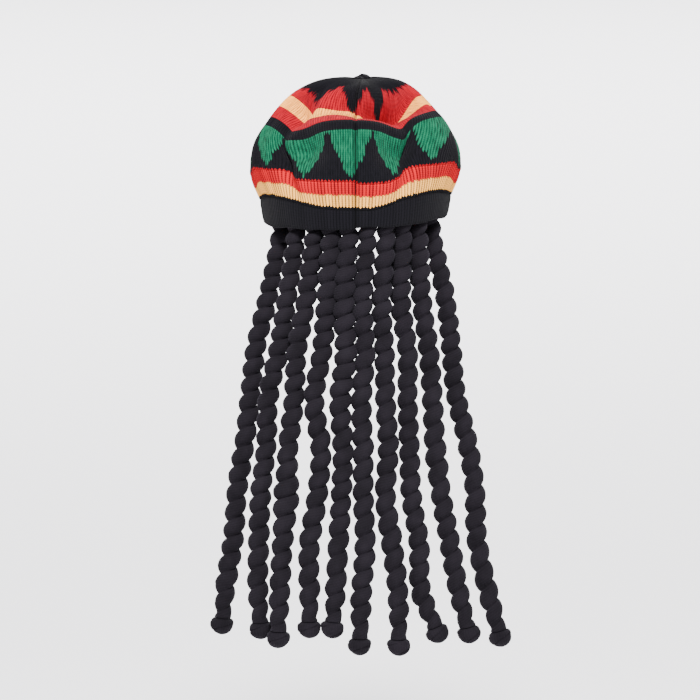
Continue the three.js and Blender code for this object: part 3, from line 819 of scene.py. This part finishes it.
def rib_material(name, stripes, relief):
    """Dyed acrylic yarn in a narrow rib: matte raised columns of two wales each, with painted
    shade in the gutters between them and between their wales, in black with stripes whose lower edges step
    from rib to rib."""
    material, tree, shader, across, along = yarn_material(name, **ACRYLIC)
    number = maths(tree, "FLOOR", across)
    side = maths(tree, "ABSOLUTE", maths(tree, "SUBTRACT", maths(tree, "FRACT", across), 0.5))
    chance = add_node(tree, "ShaderNodeTexWhiteNoise", {"W": number}, noise_dimensions="1D").outputs[0]
    droop = maths(tree, "MULTIPLY_ADD", side, RIB_DROOP, maths(tree, "MULTIPLY", chance, CHANCE_STEP))
    height = maths(tree, "SUBTRACT", along, droop)
    twice = maths(tree, "PINGPONG", across, 0.25)
    slope = maths(tree, "MULTIPLY", twice, LEG_SLANT)
    leg = maths(tree, "PINGPONG", maths(tree, "MULTIPLY_ADD", along, 1 / COURSE_HEIGHT, slope), 0.5)
    rounded = maths(tree, "MULTIPLY", maths(tree, "SUBTRACT", 0.5, side), GUTTER_SHARE)
    stitch = maths(tree, "MULTIPLY_ADD", leg, RIB_LEG_SHARE, maths(tree, "ADD", twice, rounded))
    # The stitch relief paints shade into the tone in the gutters and between the legs; the chance tone from
    # rib to rib is the yarn's own
    tone = maths(tree, "MULTIPLY_ADD", chance, RIB_CHANCE_SHARE, stitch)
    yarns = yarn_colours(tree, ramp(tree, tone, *RIB_TONES))
    colour = yarns["black"]
    for start, yarn in stripes:
        colour = mixed(tree, maths(tree, "GREATER_THAN", height, start), colour, yarns[yarn])
    # Painted shade along the groove of the drawn seam
    colour = paint_seam_shade(tree, across, RIBS, colour)
    finish_yarn(tree, shader, colour, stitch, KNIT_BUMP, relief)
    return material


band_stripes = ((TAN_START, "straw"), (RED_START, "scarlet"))
band.data.materials.append(rib_material("acrylic_rib_tan_red", band_stripes, 1.0))
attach(band, "root")
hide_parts("rib_band")


# Rolled rim
# The edge is a black ribbed hem, turned up double inside and stitched, so it is thicker than
# the band and its lower edge is round.
RIM_WALL = 0.0045
HEM_ROLL = 0.0016
RIM_RELIEF = 0.0002
# How far the free lower edge waves up and down
HEM_WAVE = 0.0006
# The hem's section as rows of the share of its height, with the share of HEM_ROLL on the outer
# face and of RIM_WALL on the inner one
RIM_SECTION = ((0.06, 0.0), (0.18, -0.5), (0.35, -0.95), (0.55, -1.05), (0.75, -0.95), (0.9, -0.55),
               (1.0, 0.0))
RIM_INNER = ((1.0, 1.0), (0.75, 1.0), (0.5, 1.0), (0.25, 1.0), (0.12, 0.92), (0.04, 0.75), (0.0, 0.5),
             (0.015, 0.2))

section = [(up * RIM_HEIGHT, share * HEM_ROLL, True) for up, share in RIM_SECTION]
section += [(up * RIM_HEIGHT, share * RIM_WALL, False) for up, share in RIM_INNER]
lengths = np.array([row[0] for row in section])
base = np.array([row[1] for row in section])[:, None]
is_outer = np.array([row[2] for row in section])[:, None]
grid = fabric_grid(angles, lengths, base - np.where(is_outer, RIM_RELIEF * rib, 0))
wave = np.sin(np.radians(angles * 7 + 40)) + 0.7 * np.sin(np.radians(angles * 13))
grid[..., 2] += HEM_WAVE * wave[None, :] * (1 - lengths[:, None] / RIM_HEIGHT)
rim = ring_piece("rolled_rim_knit", grid, np.arange(columns + 1) / COLUMNS_A_RIB, lengths * 1000)
rim.data.materials.append(rib_material("acrylic_rib_black", (), 0.35))
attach(rim, "root")
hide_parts("rolled_rim")


# Gathered top
# The last courses are drawn together with the yarn's end into a small puckered nub.
GATHER_RADIUS = 0.010
GATHER_HEIGHT = 0.0050
NUB_GAP = 0.0004
# Rows of the share of its radius and height, from the stem under the fabric to the tip
GATHER_PROFILE = ((0.0, -0.45), (0.5, -0.4), (0.56, 0.0), (0.78, 0.02), (1.0, 0.22), (0.95, 0.42),
                  (0.8, 0.66), (0.55, 0.86), (0.25, 0.97), (0.0, 1.0))
GATHER_ROWS = 40
PLEATS = 11
PLEAT_DEPTH = 0.16
SIDES_A_PLEAT = 10

sides = PLEATS * SIDES_A_PLEAT
turn = np.linspace(0, 2 * math.pi, sides, endpoint=False)
profile = np.array(GATHER_PROFILE)
share = np.linspace(0, len(profile) - 1, GATHER_ROWS)
out = np.interp(share, np.arange(len(profile)), profile[:, 0])[:, None]
up = np.interp(share, np.arange(len(profile)), profile[:, 1])[:, None]
pleats = (0.5 + 0.5 * np.cos(PLEATS * turn + 0.8 * np.sin(turn * 3)))[None, :]
radius = GATHER_RADIUS * out * (1 - PLEAT_DEPTH * smooth(0.5, 0.9, out) * pleats)
crumple = 0.62 + 0.24 * np.cos(turn - 0.4) + 0.16 * np.cos(3 * turn + 1.2) + 0.1 * np.cos(7 * turn)
top_z = ROWS[-1, 2] + NUB_GAP
grid = np.stack([GATHER_DRIFT + radius * np.cos(turn), radius * np.sin(turn),
                 top_z + GATHER_HEIGHT * np.where(up > 0, up * crumple, up)], axis=-1)
gather = ring_piece("crown_gather_nub", grid, np.arange(sides + 1) / SIDES_A_PLEAT, share)
gather.data.materials.append(bpy.data.materials["acrylic_rib_black"])
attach(gather, "root")
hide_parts("crown_gather")


# Floor and light
# A wide pale floor far below the held cap, a soft white room, and three square lamps: one over
# the cap, one in front of it and a broad one that lights the floor behind it.
FLOOR_HALF = 30
FLOOR_DROP = 0.25
ROOM_STRENGTH = 0.72
# Each lamp's name, place, the point it shines at, size and power
LAMPS = (("overhead_light", (-0.1, -0.9, 2.2), (0, 0, 0), 1.0, 15),
         ("front_light", (0.0, -1.9, 1.7), (0, 0, 0), 0.5, 220),
         ("backdrop_light", (0, 10, 5), (0, 10, 0), 14, 3700))

floor_z = cad_box[0][2] - FLOOR_DROP
floor_corners = [(x * FLOOR_HALF, y * FLOOR_HALF, floor_z) for x, y in ((-1, -1), (1, -1), (1, 1), (-1, 1))]
floor_mesh = bpy.data.meshes.new("floor")
floor_mesh.from_pydata(floor_corners, [], [(0, 1, 2, 3)])
floor = bpy.data.objects.new("floor", floor_mesh)
bpy.context.scene.collection.objects.link(floor)
paper = bpy.data.materials.new("pale_paper")
paper.use_nodes = True
paper_shader = paper.node_tree.nodes["Principled BSDF"]
paper_shader.inputs["Base Color"].default_value = linear("#fdfcff")
paper_shader.inputs["Roughness"].default_value = 1.0
paper_shader.inputs["Specular IOR Level"].default_value = 0.0
floor_mesh.materials.append(paper)

world = bpy.data.worlds.new("soft_room")
bpy.context.scene.world = world
world.use_nodes = True
room = world.node_tree.nodes["Background"]
room.inputs["Color"].default_value = (1, 1, 1, 1)
room.inputs["Strength"].default_value = ROOM_STRENGTH

for name, place, target, size, power in LAMPS:
    lamp_data = bpy.data.lights.new(name, "AREA")
    lamp_data.size = size
    lamp_data.energy = power
    lamp = bpy.data.objects.new(name, lamp_data)
    lamp.location = place
    lamp.rotation_euler = (Vector(target) - Vector(place)).to_track_quat("-Z", "Y").to_euler()
    bpy.context.scene.collection.objects.link(lamp)
